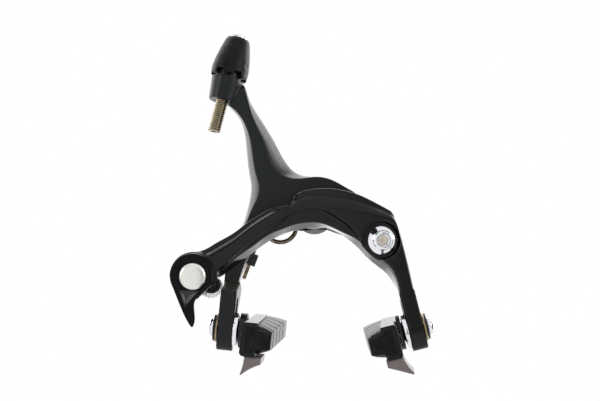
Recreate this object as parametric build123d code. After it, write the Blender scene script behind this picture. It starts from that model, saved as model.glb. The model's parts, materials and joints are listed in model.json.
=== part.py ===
from build123d import *
import os
from math import acos, atan2, cos, degrees, hypot, radians, sin

# Dual pivot rim brake caliper for a road bicycle, arms sprung open.
# Origin: axis of the mounting bolt at the rear mounting face. +X right seen from the front,
# +Y backward to the fork, +Z up. Millimetres.
# Pieces are drawn in the front view (x, z) and placed by their distance forward of that face.

# Main places in the front view, at rest
hub = (0.0, 0.0)
offset_pivot = (26.2, -10.8)
left_bolt = (-37.3, -44.0)
right_bolt = (37.8, -47.6)
quick_axis = (-48.8, -21.1)
adjuster_seat = (-32.2, 56.5)
spring_centre = (-14.1, -3.6)
spring_end = (-29.5, -22.8)
clamp_centre = (-42.6, -25.4)
link_place = (15.0, 1.9)

# How far the arms stand open, in degrees from their place on the rim
left_open = 8.6
right_open = 11.5
adjuster_lean = 16.8
adjuster_pitch = -12.5

# Layers, as distances forward of the mounting face
washer_thick = 2.0
bracket_thick = 3.5
bracket_hub_front = 10.5
bracket_pivot_front = 8.2
thrust_thick = 0.6
rear_arm_thick = 9.4
flank_steps = ((1, 1), (0.78, 0.6), (0.48, 0.3), (0.2, 0.1), (0, 0))
hub_web_thick = 5.4
nut_thick = 3.8
arm_gap = 0.5
flange_thick = 8.5
rib_root = 5.5
crown_steps = ((0, 1.0), (0.3, 0.48), (0.62, 0.17), (1, 0))
crown_samples = 10
leg_thick = 10.6
rear_leg_step = 8.5
rear_leg_slope = 2.7

# Centre bolt, its washers and its bush
stud_radius = 3.0
stud_length = 30.0
shaft_radius = 3.4
bush_wall = 0.8
serrated_radius = 7.75
serration_count = 24
serration_depth = 0.35
serration_width = 0.5
bracket_hub_radius = 6.0
bracket_web = 3.9
nut_flats = 10.0
nut_tool_gap = 0.9
hub_washer_radius = 5.6
hub_bottom = 5.8

# Offset pivot
pivot_shank_radius = 3.0
pivot_boss_radius = 6.2
pivot_recess_radius = 7.5
pivot_recess_shift = 0.7
pivot_recess_depth = 3.9
pivot_flange_radius = 5.8
pivot_flange_thick = 1.5
pivot_head_radius = 3.8
pivot_head_thick = 2.8
pivot_socket_flats = 4.0
pivot_socket_depth = 2.4
pivot_washer_radius = 5.4

# Adjuster, along its own leaning axis
boss_radius = 6.6
boss_foot_radius = 5.5
boss_length = 9.5
thread_radius = 2.5
thread_reach = 22.3
cable_hole_radius = 1.1
knob_foot_radius = 7.5
knob_waist_radius = 6.2
knob_top_radius = 5.1
knob_height = 17.2
knob_foot_gap = 0.9
knob_wall = 2.2
knob_notches = 6
knob_notch_width = 3.2
knob_notch_depth = 1.5
flute_radius = 4.0
flute_depth = 0.4
ferrule_radius = 3.4
ferrule_wall = 0.7
ferrule_depth = 8.0
ferrule_proud = 1.9
ferrule_rest = 3.2
adjuster_nut_height = 3.4
key_flat = 2.15
key_rise = 2.5

# Quick release
quick_boss_radius = 9.5
quick_boss_flat = 7.6
quick_flat_turn = 48.0
quick_journal_radius = 4.6
quick_throw = 2.4
quick_throw_angle = 213.5
eccentric_radius = 2.0
lever_radius = 9.0
lever_thick = 5.6
lever_head = (173.0, 110.0, 48.0)
lever_cap_radius = 5.35
lever_cap_thick = 1.0
lever_cap_sink = 0.8
lever_tip = (-1.2, -19.7)
lever_square = 5.4
anchor_thick = 4.6
anchor_wall = 2.4
rivet_rim = 0.7
rivet_thick = 0.8
clamp_lobe_radius = 3.6
clamp_plate_radius = 4.8
clamp_plate_shift = (-0.6, -0.9)
clamp_teeth = 20
clamp_tooth = 0.32
cable_radius = 0.7
clamp_plate_thick = 1.9
clamp_bolt_radius = 2.2
clamp_head_flats = 7.0
clamp_head_thick = 3.4

# Return spring
spring_radius = 6.6
wire_radius = 0.9
coil_rise = 2.05
spring_peg_radius = 2.4
long_length = 25.4
short_length = 9.8
slider_share = 0.34
slider_wall = 0.8
slider_size = (5.0, 4.8)

# Legs and shoes
leg_width = 6.4
leg_round = 8.7
leg_round_up = 1.3
leg_knee = 7.0
leg_root_up = 16.8
leg_inset = 0.12
slot_radius = 2.75
slot_up = 10.0
slot_down = 1.2
bolt_rise = 1.1
pad_bolt_radius = 2.5
pad_head_radius = 3.7
pad_head_thick = 2.6
pad_head_crown = 0.75
pad_socket_flats = 4.0
pad_socket_depth = 2.0
washer_hole = 2.95
seat_washer_radius = 5.7
seat_washer_thick = 0.7
seat_dome_rise = 1.9
outer_washer_radius = 5.2
outer_washer_thick = 0.8
outer_washer_gap = 0.3
domed_washer_radius = 7.1
domed_washer_thick = 1.6
dome_rise = 3.1
dished_washer_radius = 6.9
dished_washer_gap = 0.45
left_stack = 4.8
right_stack = 3.6
left_toe = 2.9
right_toe = 3.1
left_leg_toe = 4.0
right_leg_toe = 0.0
left_pitch = -0.5
right_pitch = -1.6
left_fin = (0.7, 0.3)
right_fin = (-1.0, -1.5)
shoe_length = 55.0
shoe_height = 13.0
shoe_depth = 6.0
shoe_wall = 1.5
shoe_back = 1.8
shoe_lip = 1.2
shoe_round = 1.6
pad_front_thick = 11.7
pad_rear_thick = 14.2
pad_rear_rise = 1.7
pad_flare_height = 11.4
pad_face_height = 6.6
pad_groove = 1.2
pad_groove_depth = 3.0
pad_groove_places = (-0.32, -0.12, 0.08, 0.28)
guide_length = 20.0
fin_root = 1.3
fin_width = 7.9
fin_depth = 7.3
fin_end = 2.5
fin_bow = 0.3
fin_blunt = 0.4
fin_tip_rise = 0.5
guide_forward = 17.0
pad_screw_share = 0.36
pad_screw_radius = 1.1
pad_screw_head_radius = 1.9
pad_screw_head_thick = 0.9

# Clearances
running = 0.04
seat_gap = 0.02
slide_gap = 0.15
face_gap = 0.4
rib_side_inset = 0.3
rib_top_inset = 0.5
past = 1.0
long_cut = 60.0

# Link pin, and the centring screw in the rear arm's tail over it
link_radius = 2.2
link_gap = 0.15
link_depth = 6.0
tail_gap = 0.5
tail_reach = 3.4
screw_radius = 1.95
screw_above_tail = 3.6
screw_socket_flats = 2.0
screw_socket_depth = 1.6

# Layers worked out from the thicknesses
plate_rear = washer_thick
plate_front = plate_rear + bracket_thick
rear_arm_rear = bracket_hub_front + thrust_thick
rear_arm_front = rear_arm_rear + rear_arm_thick
rear_arm_middle = (rear_arm_rear + rear_arm_front) / 2
front_arm_rear = rear_arm_front + arm_gap
flange_front = front_arm_rear + flange_thick
leg_front = front_arm_rear + leg_thick
rib_front = leg_front
leg_middle = (front_arm_rear + leg_front) / 2


# Helpers for pieces drawn in the front view

def spot(anchor, *offsets):
    """Points given by their offsets from an anchor."""
    return [(anchor[0] + dx, anchor[1] + dz) for dx, dz in offsets]


def shifted(points, dx, dz):
    return [(x + dx, z + dz) for x, z in points]


def disc(centre, radius, rear, front):
    return extrude(Plane.XZ.offset(rear) * Pos(*centre) * Circle(radius), front - rear)


def tube(centre, outer, inner, rear, front):
    ring = Circle(outer) - Circle(inner)
    return extrude(Plane.XZ.offset(rear) * Pos(*centre) * ring, front - rear)


def hexagon(centre, flats, rear, front):
    shape = RegularPolygon(flats / 2, 6, major_radius=False)
    return extrude(Plane.XZ.offset(rear) * Pos(*centre) * shape, front - rear)


def closed_face(curves):
    return make_face(Curve() + curves)


def drafted(rear_curves, rear, front_curves, front):
    """A slab whose side walls lean from its rear outline to its front outline."""
    back_face = Plane.XZ.offset(rear) * closed_face(rear_curves)
    face = Plane.XZ.offset(front) * closed_face(front_curves)
    return loft([back_face, face], ruled=True)


def mixed(first, second, share):
    """Places on the way from each point to its partner."""
    return [(a[0] + (b[0] - a[0]) * share, a[1] + (b[1] - a[1]) * share) for a, b in zip(first, second)]


def between(outer, inner, share):
    """Places on the way from one smooth line to another, both sampled evenly along their length."""
    steps = [step / crown_samples for step in range(crown_samples + 1)]
    lines = [[tuple(Spline(*line) @ step)[:2] for step in steps] for line in (outer, inner)]
    return mixed(*lines, share)


def bar(start, end, half_width, rear, front):
    """A straight bar between two places of the front view."""
    length = hypot(end[0] - start[0], end[1] - start[1])
    middle = ((start[0] + end[0]) / 2, (start[1] + end[1]) / 2)
    turn = degrees(atan2(end[1] - start[1], end[0] - start[0]))
    shape = Pos(*middle) * Rot(0, 0, turn) * Rectangle(length, 2 * half_width)
    return extrude(Plane.XZ.offset(rear) * shape, front - rear)


def rod(start, end, radius):
    """A round rod between two points in space."""
    direction = Vector(*end) - Vector(*start)
    return extrude(Plane(origin=start, z_dir=direction) * Circle(radius), direction.length)


def along_x(radius, start, end):
    """A cylinder on the x axis."""
    return Plane.YZ.offset(start) * extrude(Circle(radius), end - start)


def in_place(shape, place, forward, lean=0.0, toe=0.0, pitch=0.0):
    """Puts a piece made at the origin at a place of the front view, leaning clockwise.

    A shoe also has a toe, a turn about its height, and a pitch, a turn about its bolt. The adjuster's
    pitch tips its top back, toward the bicycle.
    """
    return Pos(place[0], -forward, place[1]) * Rot(0, lean, 0) * Rot(0, 0, toe) * Rot(pitch, 0, 0) * shape


# Rear arm (Y-arm)

def leg_point(bolt, lean, across, up):
    """A place on a leg, from its bolt: across to the right and up along the leg."""
    turn = radians(lean)
    return (
        bolt[0] + across * cos(turn) + up * sin(turn),
        bolt[1] - across * sin(turn) + up * cos(turn),
    )


rear_leg_join = 12.4
tail_under = link_place[1] + link_radius + tail_gap


def rear_arm_outline(stem_right, stem_left, arch):
    """The rear arm's closed outline: shoulder side, tail, hub foot, arch, outer side."""
    tail_end = link_place[0] + tail_reach
    shoulder = spot(hub, (1.5, 15.6), (6.7, 14.4), (12.0, 11.4), (16.0, 8.9))
    right_side = stem_right + shoulder
    tail_tip = (tail_end, tail_under + 1.6)
    tail_heel = (tail_end - 0.9, tail_under)
    hub_side = (hub[0] + 8.6, tail_under)
    foot_right = (hub[0] + 5.2, hub[1] - hub_bottom)
    foot_left = (hub[0] - 6.0, hub[1] - hub_bottom)
    inner = leg_point(left_bolt, left_open, leg_width / 2 - leg_inset, rear_leg_join)
    outer = leg_point(left_bolt, left_open, leg_inset - leg_width / 2, rear_leg_join)
    return [
        Spline(*right_side),
        Line(right_side[-1], tail_tip),
        Line(tail_tip, tail_heel),
        Line(tail_heel, hub_side),
        Spline(hub_side, (hub[0] + 7.6, hub[1] - 1.0), foot_right),
        Line(foot_right, foot_left),
        Spline(foot_left, *arch, inner),
        Line(inner, outer),
        Spline(outer, *stem_left),
        Line(stem_left[-1], stem_right[0]),
    ]


# Its stem's right side, its left side and its arch, where the front face ends and where the back one does
front_lines = (
    spot(adjuster_seat, (6.9, -2.4), (7.7, -8.6), (9.8, -17.2), (13.3, -26.0))
    + spot(hub, (-16.5, 21.8), (-14.4, 18.3), (-10.8, 16.0), (-5.0, 15.2)),
    spot(left_bolt, (-0.4, 17.4), (1.6, 29.0), (5.6, 37.6), (9.4, 42.1))
    + spot(hub, (-25.4, 3.2), (-22.3, 8.6), (-21.4, 12.5), (-22.3, 17.0), (-23.6, 26.2))
    + spot(adjuster_seat, (7.4, -22.2), (5.4, -17.0), (3.5, -14.0), (-0.1, -10.7)),
    spot(hub, (-11.0, -5.4), (-15.5, -6.8), (-20.5, -9.4))
    + spot(left_bolt, (10.2, 29.8), (8.0, 25.7), (6.4, 21.4), (5.1, 17.0)),
)
back_lines = (
    spot(adjuster_seat, (6.9, -2.4), (9.0, -10.4), (12.4, -16.6), (17.6, -26.2))
    + spot(hub, (-11.8, 24.3), (-9.0, 19.9), (-6.2, 17.4), (-2.5, 16.1)),
    spot(left_bolt, (-0.5, 17.2), (1.0, 28.6), (4.4, 36.9), (7.6, 41.0))
    + spot(hub, (-27.2, 3.2), (-25.4, 10.0), (-25.1, 13.1), (-25.6, 18.0), (-26.1, 24.6))
    + spot(adjuster_seat, (5.7, -23.6), (3.9, -16.2), (2.1, -13.5), (-0.4, -10.7)),
    spot(hub, (-10.5, -6.0), (-14.8, -7.6), (-19.8, -9.9))
    + spot(left_bolt, (12.0, 30.4), (9.4, 26.2), (6.9, 21.8), (5.7, 17.6)),
)


def leg(rear_step, ledge=()):
    """A leg around its pad bolt: z up the leg, slot through it, foot rounded front to rear.

    rear_step is how far behind the leg its root reaches, up where it meets the arm, and ledge
    holds the places of a slope over its root.
    """
    half = leg_thick / 2
    root = leg_root_up
    side = Polygon(
        (-half, leg_round_up), (half, leg_round_up), (half, leg_knee), (half + rear_step, root), *ledge,
        (-half, root), align=None,
    )
    profile = side + Pos(0, leg_round_up) * Ellipse(half, leg_round)
    body = Plane.YZ.offset(-leg_width / 2) * extrude(profile, leg_width)
    slot_middle = (slot_up - slot_down) / 2 + bolt_rise
    slot = Pos(0, slot_middle) * Rot(0, 0, 90) * SlotCenterToCenter(slot_up + slot_down, 2 * slot_radius)
    return body - Plane.YZ.offset(-leg_width) * extrude(slot, 2 * leg_width)


adjuster_frame = (adjuster_seat, rear_arm_middle, adjuster_lean, 0.0, adjuster_pitch)
adjuster_bore = Cylinder(thread_radius + running, long_cut)
adjuster_bore -= Pos(0, key_flat + running + thread_radius, 0) * Box(
    2 * thread_radius, 2 * thread_radius, long_cut
)
boss = Pos(0, 0, -boss_length / 2) * Cone(boss_foot_radius, boss_radius, boss_length)

# Its flanks are rounded: flat out at the front face, and steeper toward the back
arm_faces = []
for share, drop in flank_steps:
    lines = [mixed(front, back, share) for front, back in zip(front_lines, back_lines)]
    layer = Plane.XZ.offset(rear_arm_front - drop * rear_arm_thick)
    arm_faces.append(layer * closed_face(rear_arm_outline(*lines)))
y_arm = loft(arm_faces, ruled=True)
rear_ledge = [(leg_middle - rear_arm_front + past, leg_root_up + rear_leg_slope)]
y_arm += in_place(leg(rear_leg_step, rear_ledge), left_bolt, leg_middle, left_open, -left_leg_toe)
y_arm += in_place(boss, *adjuster_frame)
y_arm -= in_place(adjuster_bore, *adjuster_frame)
nut_pocket_floor = rear_arm_rear + hub_web_thick
nut_corner = nut_flats / 2 / cos(radians(30))
y_arm -= disc(hub, nut_corner + nut_tool_gap, nut_pocket_floor, rear_arm_front + past)
hub_bush_outer = shaft_radius + running + bush_wall
y_arm -= disc(hub, hub_bush_outer + seat_gap, rear_arm_rear - past, rear_arm_front + past)
y_arm -= Pos(link_place[0], -rear_arm_middle, tail_under) * Cylinder(screw_radius + seat_gap, long_cut / 2)

# Centring screw: a grub screw sunk in the tail, its tip just over the link pin
screw_low = link_place[1] + link_radius + link_gap
screw_high = tail_under + screw_above_tail
centering_screw = Pos(link_place[0], -rear_arm_middle, (screw_low + screw_high) / 2) * Cylinder(
    screw_radius, screw_high - screw_low
)
centering_screw -= Pos(link_place[0], -rear_arm_middle, screw_high) * extrude(
    RegularPolygon(screw_socket_flats / 2, 6, major_radius=False), screw_socket_depth, both=True
)


# Front arm (C-arm)

front_leg_join = 16.4
leg_inner = leg_point(right_bolt, -right_open, leg_inset - leg_width / 2, front_leg_join)
leg_outer = leg_point(right_bolt, -right_open, leg_width / 2 - leg_inset, front_leg_join)
quick_top = (quick_axis[0], quick_axis[1] + quick_boss_radius - seat_gap)
quick_foot = spot(quick_axis, (6.2, -4.3))[0]

upper_left = [quick_top] + spot(quick_axis, (2.8, 9.6), (5.6, 10.4), (9.3, 12.4), (15.4, 15.4)) + spot(
    hub, (-27.2, -1.6), (-19.9, 2.6), (-16.1, 4.3), (-12.0, 4.6)
)
upper_right = spot(hub, (-7.6, 8.8), (-3.0, 10.4), (1.2, 10.8), (8.1, 10.4), (12.3, 9.4), (16.2, 8.2)) + spot(
    offset_pivot, (-5.6, 16.9), (-0.4, 13.9), (3.4, 11.6)
)
right_side = spot(offset_pivot, (5.1, 8.2), (7.0, 2.4), (8.1, -2.6), (9.5, -9.7)) + [leg_outer]


def front_arm_outline(inner):
    """The front arm's closed outline at one layer, with its own arch edge."""
    return [
        Spline(*upper_left),
        Spline(upper_left[-1], *spot(hub, (-9.4, 6.1)), upper_right[0]),
        Spline(*upper_right),
        Spline(upper_right[-1], *spot(offset_pivot, (4.5, 10.3)), right_side[0]),
        Spline(*right_side),
        Line(leg_outer, leg_inner),
        Spline(leg_inner, *inner, quick_foot),
        Line(quick_foot, quick_top),
    ]


arch_at_front = (
    spot(offset_pivot, (4.4, -16.5), (2.7, -12.0), (-1.4, -7.8), (-5.8, -3.9), (-9.2, 0.2))
    + spot(hub, (11.5, -7.4), (6.5, -4.7), (2.1, -2.8), (-2.4, -2.3), (-6.9, -2.6), (-12.8, -4.3))
    + spot(hub, (-19.2, -6.7), (-24.5, -10.2), (-30.2, -13.7))
    + spot(quick_axis, (12.2, 2.1))
)
arch_at_rear = (
    spot(offset_pivot, (3.6, -17.6), (1.7, -14.4), (-2.4, -10.5), (-6.3, -6.9), (-9.7, -2.9))
    + spot(hub, (11.8, -9.4), (7.0, -6.2), (2.1, -5.0), (-2.4, -5.0), (-6.9, -5.4), (-12.4, -6.6))
    + spot(hub, (-18.6, -9.3), (-23.6, -12.4), (-29.0, -16.0))
    + spot(quick_axis, (13.6, 0.8))
)

rib_low = (
    spot(offset_pivot, (4.8, -16.5), (3.1, -12.0), (-1.0, -7.7), (-5.4, -3.8), (-8.8, 0.7))
    + spot(hub, (11.6, -3.4), (7.9, -0.5), (3.8, 1.8), (-0.7, 3.0), (-5.2, 2.6), (-9.8, 1.0), (-14.4, -1.8))
    + spot(hub, (-20.6, -5.7), (-28.4, -11.0))
    + spot(quick_axis, (14.4, 5.2), (9.4, 1.2))
)
rib_bottom_right = shifted([leg_outer], -rib_side_inset, 0)[0]
rib_bottom_left = shifted([leg_inner], rib_side_inset, 0)[0]


def rib_outline(top_left, top_right, edge):
    """The raised rib's closed outline: its top line, the right edge, its lower line."""
    return [
        Spline(*top_left),
        Line(top_left[-1], top_right[0]),
        Spline(*top_right),
        Spline(top_right[-1], *edge, rib_bottom_right),
        Line(rib_bottom_right, rib_bottom_left),
        Spline(rib_bottom_left, *rib_low),
        Line(rib_low[-1], top_left[0]),
    ]


edge_line = spot(offset_pivot, (4.8, 8.1), (6.7, 2.4), (7.8, -2.6), (9.2, -9.7))
crease_left = spot(quick_axis, (4.2, 6.2), (11.6, 9.6), (17.1, 13.0)) + spot(
    hub, (-25.0, -3.2), (-18.5, 0.6), (-12.5, 3.0)
)
crease_right = spot(hub, (-7.0, 4.2), (0.5, 4.6), (7.7, 3.0)) + spot(
    offset_pivot, (-8.0, 11.9), (-0.9, 10.1), (4.0, 8.6)
)

c_arm = drafted(
    front_arm_outline(arch_at_rear), front_arm_rear, front_arm_outline(arch_at_front), flange_front
)

# The rib's upper face is a crown: nearly flat at its crease, and steeper toward the arm's top edge
root_left = shifted(upper_left[1:], rib_side_inset, -rib_top_inset)
root_right = shifted(upper_right, -rib_side_inset, -rib_top_inset)
crown_faces = []
for share, drop in crown_steps:
    top_line = (between(root_left, crease_left, share), between(root_right, crease_right, share))
    layer = Plane.XZ.offset(rib_front - drop * rib_root)
    crown_faces.append(layer * closed_face(rib_outline(*top_line, edge_line)))
c_arm += loft(crown_faces, ruled=True)
flat_place = Pos(*quick_axis) * Rot(0, 0, -quick_flat_turn) * Pos(quick_boss_flat - quick_boss_radius, 0)
quick_boss = Pos(*quick_axis) * Circle(quick_boss_radius) & flat_place * Rectangle(
    2 * quick_boss_radius, 2 * quick_boss_radius
)
c_arm += extrude(Plane.XZ.offset(front_arm_rear) * quick_boss, rib_front - front_arm_rear)
c_arm += disc(offset_pivot, pivot_boss_radius, bracket_pivot_front + thrust_thick, front_arm_rear + past)
c_arm += in_place(leg(0.0), right_bolt, leg_middle, -right_open, -right_leg_toe)
recess_floor = rib_front - pivot_recess_depth
pivot_bush_outer = pivot_shank_radius + running + bush_wall
recess_centre = shifted([offset_pivot], -pivot_recess_shift, 0)[0]
c_arm -= disc(recess_centre, pivot_recess_radius, recess_floor, rib_front + past)
c_arm -= disc(offset_pivot, pivot_bush_outer + seat_gap, 0, rib_front + past)
c_arm -= disc(quick_axis, quick_journal_radius + running, 0, rib_front + past)
link_rear = rear_arm_rear + past
c_arm -= disc(link_place, link_radius + seat_gap, 0, front_arm_rear + link_depth)
link_pin = disc(link_place, link_radius, link_rear, front_arm_rear + link_depth - seat_gap)


# Bracket, the rear link plate that carries both pivots and the spring

bracket = disc(hub, serrated_radius, plate_rear, plate_front)
bracket += disc(hub, bracket_hub_radius, plate_front, bracket_hub_front)
bracket += disc(offset_pivot, pivot_boss_radius, plate_rear, bracket_pivot_front)
bracket += bar(hub, offset_pivot, bracket_web, plate_rear, plate_front)
bracket += bar(hub, spring_centre, spring_peg_radius, plate_rear, plate_front)
bracket += disc(spring_centre, spring_peg_radius, plate_rear, rear_arm_rear - face_gap)
bracket -= disc(hub, shaft_radius + seat_gap, 0, rear_arm_front)
bracket -= disc(offset_pivot, pivot_shank_radius + seat_gap, 0, rear_arm_front)

# Return spring: one leg through the slider on the rear arm, the coil, one leg in the hub of the bracket
coil_rear = plate_front + wire_radius + slide_gap
towards_end = (spring_end[0] - spring_centre[0], spring_end[1] - spring_centre[1])
end_angle = degrees(atan2(towards_end[1], towards_end[0])) % 360
tangent_angle = end_angle - degrees(acos(spring_radius / hypot(*towards_end)))
coil_sweep = tangent_angle - 90 + 360
coil_place = Plane.XZ.offset(coil_rear) * Pos(*spring_centre) * Rot(0, 0, tangent_angle)
coil_path = coil_place * Helix(coil_rise * 360 / coil_sweep, coil_rise, spring_radius, lefthand=True)
long_start = coil_path @ 0 - (coil_path % 0) * long_length
short_end = coil_path @ 1 + (coil_path % 1) * short_length
spring_path = Wire([Line(long_start, coil_path @ 0), coil_path, Line(coil_path @ 1, short_end)])
return_spring = sweep(Plane(origin=long_start, z_dir=coil_path % 0) * Circle(wire_radius), path=spring_path)
bracket -= rod(coil_path @ 1, short_end + (coil_path % 1) * slide_gap, wire_radius + seat_gap)

# Slider, a plastic foot under the rear arm that the long leg of the spring runs through
slider_place = long_start + (coil_path % 0) * (long_length * slider_share)
leg_turn = degrees(atan2((coil_path % 0).Z, (coil_path % 0).X))
slider_rear = -slider_place.Y - wire_radius - slider_wall
slider_outline = Pos(slider_place.X, slider_place.Z) * Rot(0, 0, leg_turn + 90) * Rectangle(*slider_size)
spring_slider = extrude(Plane.XZ.offset(slider_rear) * slider_outline, rear_arm_rear - seat_gap - slider_rear)
spring_slider -= rod(long_start, coil_path @ 0, wire_radius + seat_gap)

# Centre bolt with its thrust washers, bush, nut and the serrated washer
nut_rear = nut_pocket_floor + thrust_thick
nut_front = nut_rear + nut_thick
mounting_bolt = disc(hub, shaft_radius, 0, nut_pocket_floor + thrust_thick / 2)
mounting_bolt += disc(hub, stud_radius, -stud_length, nut_front)
serrated_washer = tube(hub, serrated_radius, shaft_radius + seat_gap, 0, washer_thick)
tooth_pitch = 360 / serration_count
for tooth in range(serration_count):
    corner = Rot(0, 0, 45) * Rectangle(serration_width, serration_width)
    groove = Rot(0, 0, tooth * tooth_pitch) * Pos(serrated_radius, 0) * corner
    serrated_washer -= extrude(Plane.XZ.offset(-past) * groove, serration_depth + past)
rear_thrust_washer = tube(hub, hub_washer_radius, shaft_radius + running, bracket_hub_front, rear_arm_rear)
centre_bush = tube(hub, hub_bush_outer, shaft_radius + running, rear_arm_rear, nut_pocket_floor)
front_thrust_washer = tube(hub, hub_washer_radius, shaft_radius + running, nut_pocket_floor, nut_rear)
centre_nut = hexagon(hub, nut_flats, nut_rear, nut_front)
centre_nut -= disc(hub, stud_radius + seat_gap, 0, rear_arm_front + past)

# Offset pivot bolt with its bush and thrust washers
flange_rear = recess_floor + thrust_thick
pivot_head_front = flange_rear + pivot_flange_thick + pivot_head_thick
offset_pivot_bolt = disc(offset_pivot, pivot_shank_radius, plate_rear, flange_rear)
offset_pivot_bolt += disc(offset_pivot, pivot_flange_radius, flange_rear, flange_rear + pivot_flange_thick)
offset_pivot_bolt += disc(offset_pivot, pivot_head_radius, flange_rear, pivot_head_front)
offset_pivot_bolt -= hexagon(
    offset_pivot, pivot_socket_flats, pivot_head_front - pivot_socket_depth, pivot_head_front + past
)
pivot_boss_rear = bracket_pivot_front + thrust_thick
offset_bush = tube(
    offset_pivot, pivot_bush_outer, pivot_shank_radius + running, pivot_boss_rear, recess_floor
)
rear_pivot_washer = tube(
    offset_pivot, pivot_washer_radius, pivot_shank_radius + running, bracket_pivot_front, pivot_boss_rear
)
front_pivot_washer = tube(
    offset_pivot, pivot_washer_radius, pivot_shank_radius + running, recess_floor, flange_rear
)


# Quick release: lever, camshaft with its eccentric pin, cap, and the cable anchor

lever_rear = rib_front + face_gap
lever_front = lever_rear + lever_thick
throw_turn = radians(quick_throw_angle)
eccentric = spot(quick_axis, (quick_throw * cos(throw_turn), quick_throw * sin(throw_turn)))[0]
head_turns = [radians(angle) for angle in lever_head]
head_arc = spot(quick_axis, *((lever_radius * cos(turn), lever_radius * sin(turn)) for turn in head_turns))
tail_right = spot(
    quick_axis, (7.5, 3.9), (7.9, 0.9), (7.1, -2.7), (4.4, -5.8), (1.8, -8.1), (0.5, -9.5), (0.0, -11.9),
    (0.1, -16.2), (-0.4, -18.7),
)
tail_left = spot(quick_axis, (-1.9, -19.1), (-3.5, -16.0), (-5.2, -11.7), (-7.1, -6.2), (-8.4, -1.9))
qr_lever = extrude(Plane.XZ.offset(lever_rear) * closed_face([
    ThreePointArc(*head_arc),
    Spline(head_arc[-1], *tail_right),
    Spline(tail_right[-1], spot(quick_axis, lever_tip)[0], tail_left[0]),
    Spline(*tail_left, head_arc[0]),
]), lever_thick)
cap_rear = lever_front - lever_cap_sink
qr_lever -= disc(quick_axis, lever_cap_radius + slide_gap, cap_rear, lever_front + past)
qr_lever -= hexagon(quick_axis, lever_square + 2 * seat_gap, 0, lever_front + past)

anchor_front = front_arm_rear - face_gap
anchor_rear = anchor_front - anchor_thick
rivet_rear = anchor_rear - rivet_thick
qr_camshaft = disc(quick_axis, quick_journal_radius, front_arm_rear - slide_gap, lever_rear)
qr_camshaft += hexagon(quick_axis, lever_square, lever_rear, cap_rear)
qr_camshaft += disc(eccentric, eccentric_radius, rivet_rear, front_arm_rear)
qr_camshaft += disc(eccentric, eccentric_radius + rivet_rim, rivet_rear, anchor_rear - running)
qr_cap = disc(quick_axis, lever_cap_radius, cap_rear, lever_front + lever_cap_thick)

anchor_block = disc(eccentric, eccentric_radius + anchor_wall, anchor_rear, anchor_front)
anchor_block += disc(clamp_centre, clamp_lobe_radius, anchor_rear, anchor_front)
anchor_block += bar(eccentric, clamp_centre, clamp_lobe_radius - face_gap, anchor_rear, anchor_front)
anchor_block -= disc(eccentric, eccentric_radius + running, 0, front_arm_rear)
anchor_block -= disc(clamp_centre, clamp_bolt_radius + seat_gap, 0, front_arm_rear)
plate_back = anchor_rear - clamp_plate_thick
plate_centre = spot(clamp_centre, clamp_plate_shift)[0]
cable_clamp_plate = disc(plate_centre, clamp_plate_radius, plate_back, anchor_rear)
cable_clamp_plate -= disc(clamp_centre, clamp_bolt_radius + seat_gap, 0, anchor_front)
for tooth in range(clamp_teeth):
    notch = Rot(0, 0, tooth * 360 / clamp_teeth) * Pos(clamp_plate_radius, 0) * Circle(clamp_tooth)
    cable_clamp_plate -= extrude(Plane.XZ * Pos(*plate_centre) * notch, anchor_front)
cable_across = clamp_centre[0] - clamp_bolt_radius - cable_radius
cable_way = Pos(cable_across, -anchor_rear, clamp_centre[1]) * Cylinder(cable_radius, long_cut / 2)
cable_clamp_plate -= cable_way
clamp_head_rear = plate_back - clamp_head_thick
cable_clamp_bolt = disc(clamp_centre, clamp_bolt_radius, plate_back, anchor_front)
cable_clamp_bolt += hexagon(clamp_centre, clamp_head_flats, clamp_head_rear, plate_back)


# Adjuster, made upright with its origin on the boss's top, then leaned over

nut_outer = knob_foot_radius - knob_wall
shell = Polyline(
    (0, knob_foot_gap), (knob_foot_radius, knob_foot_gap), (knob_foot_radius, knob_height * 0.26),
    (knob_foot_radius - 0.5, knob_height * 0.47), (knob_waist_radius, knob_height * 0.69),
    (knob_top_radius, knob_height * 0.93), (knob_top_radius - 0.6, knob_height), (0, knob_height), close=True,
)
knob_body = revolve(Plane.XZ * make_face(shell), Axis.Z)
ferrule_bore = ferrule_radius + seat_gap
nut_room = knob_foot_gap + adjuster_nut_height
knob_body -= Pos(0, 0, nut_room / 2) * Cylinder(nut_outer + seat_gap, nut_room)
knob_body -= Pos(0, 0, knob_height / 2) * Cylinder(ferrule_bore, 2 * knob_height)
notch_pitch = 360 / knob_notches
for notch in range(knob_notches):
    gap = Rot(0, 0, notch * notch_pitch) * Pos(knob_foot_radius, 0, knob_foot_gap)
    knob_body -= gap * Box(4 * knob_wall, knob_notch_width, 2 * knob_notch_depth)
    flute = Rot(0, 0, (notch + 0.5) * notch_pitch) * Pos(knob_foot_radius + flute_radius - flute_depth, 0, 0)
    knob_body -= flute * Pos(0, 0, knob_height * 0.62) * Cylinder(flute_radius, knob_height * 0.62)
adjuster_knob = in_place(knob_body, *adjuster_frame)

nut_body = Pos(0, 0, (seat_gap + nut_room) / 2) * Cylinder(nut_outer, nut_room - seat_gap)
nut_body -= Cylinder(thread_radius + running, long_cut)
adjuster_nut = in_place(nut_body, *adjuster_frame)

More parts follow.
